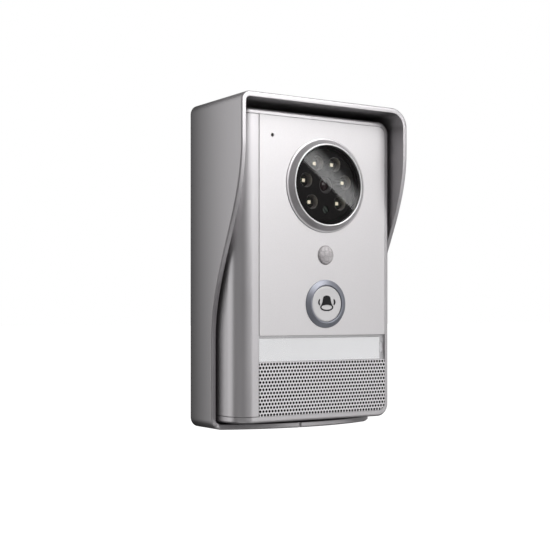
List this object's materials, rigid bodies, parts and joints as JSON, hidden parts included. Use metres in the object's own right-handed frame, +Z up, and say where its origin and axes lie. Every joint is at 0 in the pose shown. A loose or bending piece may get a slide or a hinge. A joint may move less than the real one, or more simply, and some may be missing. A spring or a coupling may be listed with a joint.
{
  "type": "outdoor video door station",
  "caption": "Wall-mounted outdoor video door station in a swept rain hood, with camera, motion sensor, call button, nameplate and speaker grille.",
  "frame": {"origin": "centre of the rain hood's back face, on the wall plane", "axes": "+X to the right seen from the front, +Y into the wall, +Z up; the front faces -Y"},
  "size_m": [0.0924, 0.0459, 0.15],
  "materials": {
    "hood_paint": "satin silver-grey paint",
    "housing_silver": "satin silver paint on plastic",
    "panel_aluminium": "satin, fine blasted",
    "grille_aluminium": "satin, perforated",
    "bezel_silver": "satin",
    "bright_trim": "polished",
    "window_glass": "clear, dark inside",
    "black_plastic": "matt",
    "case_plastic": "fine texture",
    "led_epoxy": "clear",
    "sensor_epoxy": "clear, greenish",
    "lens_glass": "coated",
    "pir_plastic": "milky, faceted",
    "ring_grey": "satin grey-blue",
    "cap_grey": "satin light grey",
    "symbol_black": "printed",
    "clear_plastic": "clear acrylic",
    "white_card": "paper white",
    "silicone": "translucent silicone",
    "seal_rubber": "matt",
    "board_green": "solder mask",
    "component": "moulded",
    "connector_plastic": "moulded",
    "steel": "zinc plated",
    "cloth_black": "fine woven",
    "ferrite": "matt",
    "terminal_green": "moulded"
  },
  "bodies": {
    "station": {"rain_hood": "hood_paint", "wall_bracket": "steel", "lock_screw": "steel", "rear_case": "case_plastic", "case_seal": "seal_rubber", "case_screws": "steel", "housing": "housing_silver", "spine_cover": "housing_silver", "front_panel": "panel_aluminium", "camera_bezel": "bezel_silver", "window_trim_ring": "bright_trim", "camera_window": "window_glass", "window_gasket": "seal_rubber", "led_mask": "black_plastic", "ir_led_1": "led_epoxy", "ir_led_2": "led_epoxy", "ir_led_3": "led_epoxy", "ir_led_4": "led_epoxy", "ir_led_5": "led_epoxy", "ir_led_6": "led_epoxy", "led_board": "board_green", "lens_barrel": "black_plastic", "lens_glass": "lens_glass", "lens_holder": "black_plastic", "image_sensor": "component", "camera_board": "board_green", "light_sensor": "sensor_epoxy", "camera_screws": "steel", "pir_lens": "pir_plastic", "pir_sensor": "steel", "button_ring": "ring_grey", "return_dome": "silicone", "switch_body": "black_plastic", "control_board": "board_green", "control_screws": "steel", "name_card": "white_card", "light_guide": "clear_plastic", "backlight_leds": "connector_plastic", "backlight_board": "board_green", "speaker_grille": "grille_aluminium", "grille_cloth": "cloth_black", "speaker_gasket": "seal_rubber", "speaker_frame": "steel", "speaker_cone": "component", "speaker_magnet": "ferrite", "microphone": "steel", "mic_boot": "seal_rubber", "main_board": "board_green", "processor": "component", "board_parts": "component", "board_connectors": "connector_plastic", "board_screws": "steel", "terminal_block": "terminal_green", "terminal_screws": "steel", "cable_grommet": "seal_rubber"},
    "button": {"call_button": "cap_grey", "bell_symbol": "symbol_black", "switch_plunger": "component"},
    "name_cover": {"nameplate_window": "clear_plastic"}
  },
  "joints": [
    {"name": "call_button_press", "type": "slide", "parent": "station", "child": "button", "axis": [0, 1, 0], "range_m": [0, 0.0008], "stiffness_N_per_m": 2000, "deforming": ["return_dome"]},
    {"name": "name_cover_release", "type": "slide", "parent": "station", "child": "name_cover", "axis": [0, -1, 0], "range_m": [0, 0.012]}
  ]
}
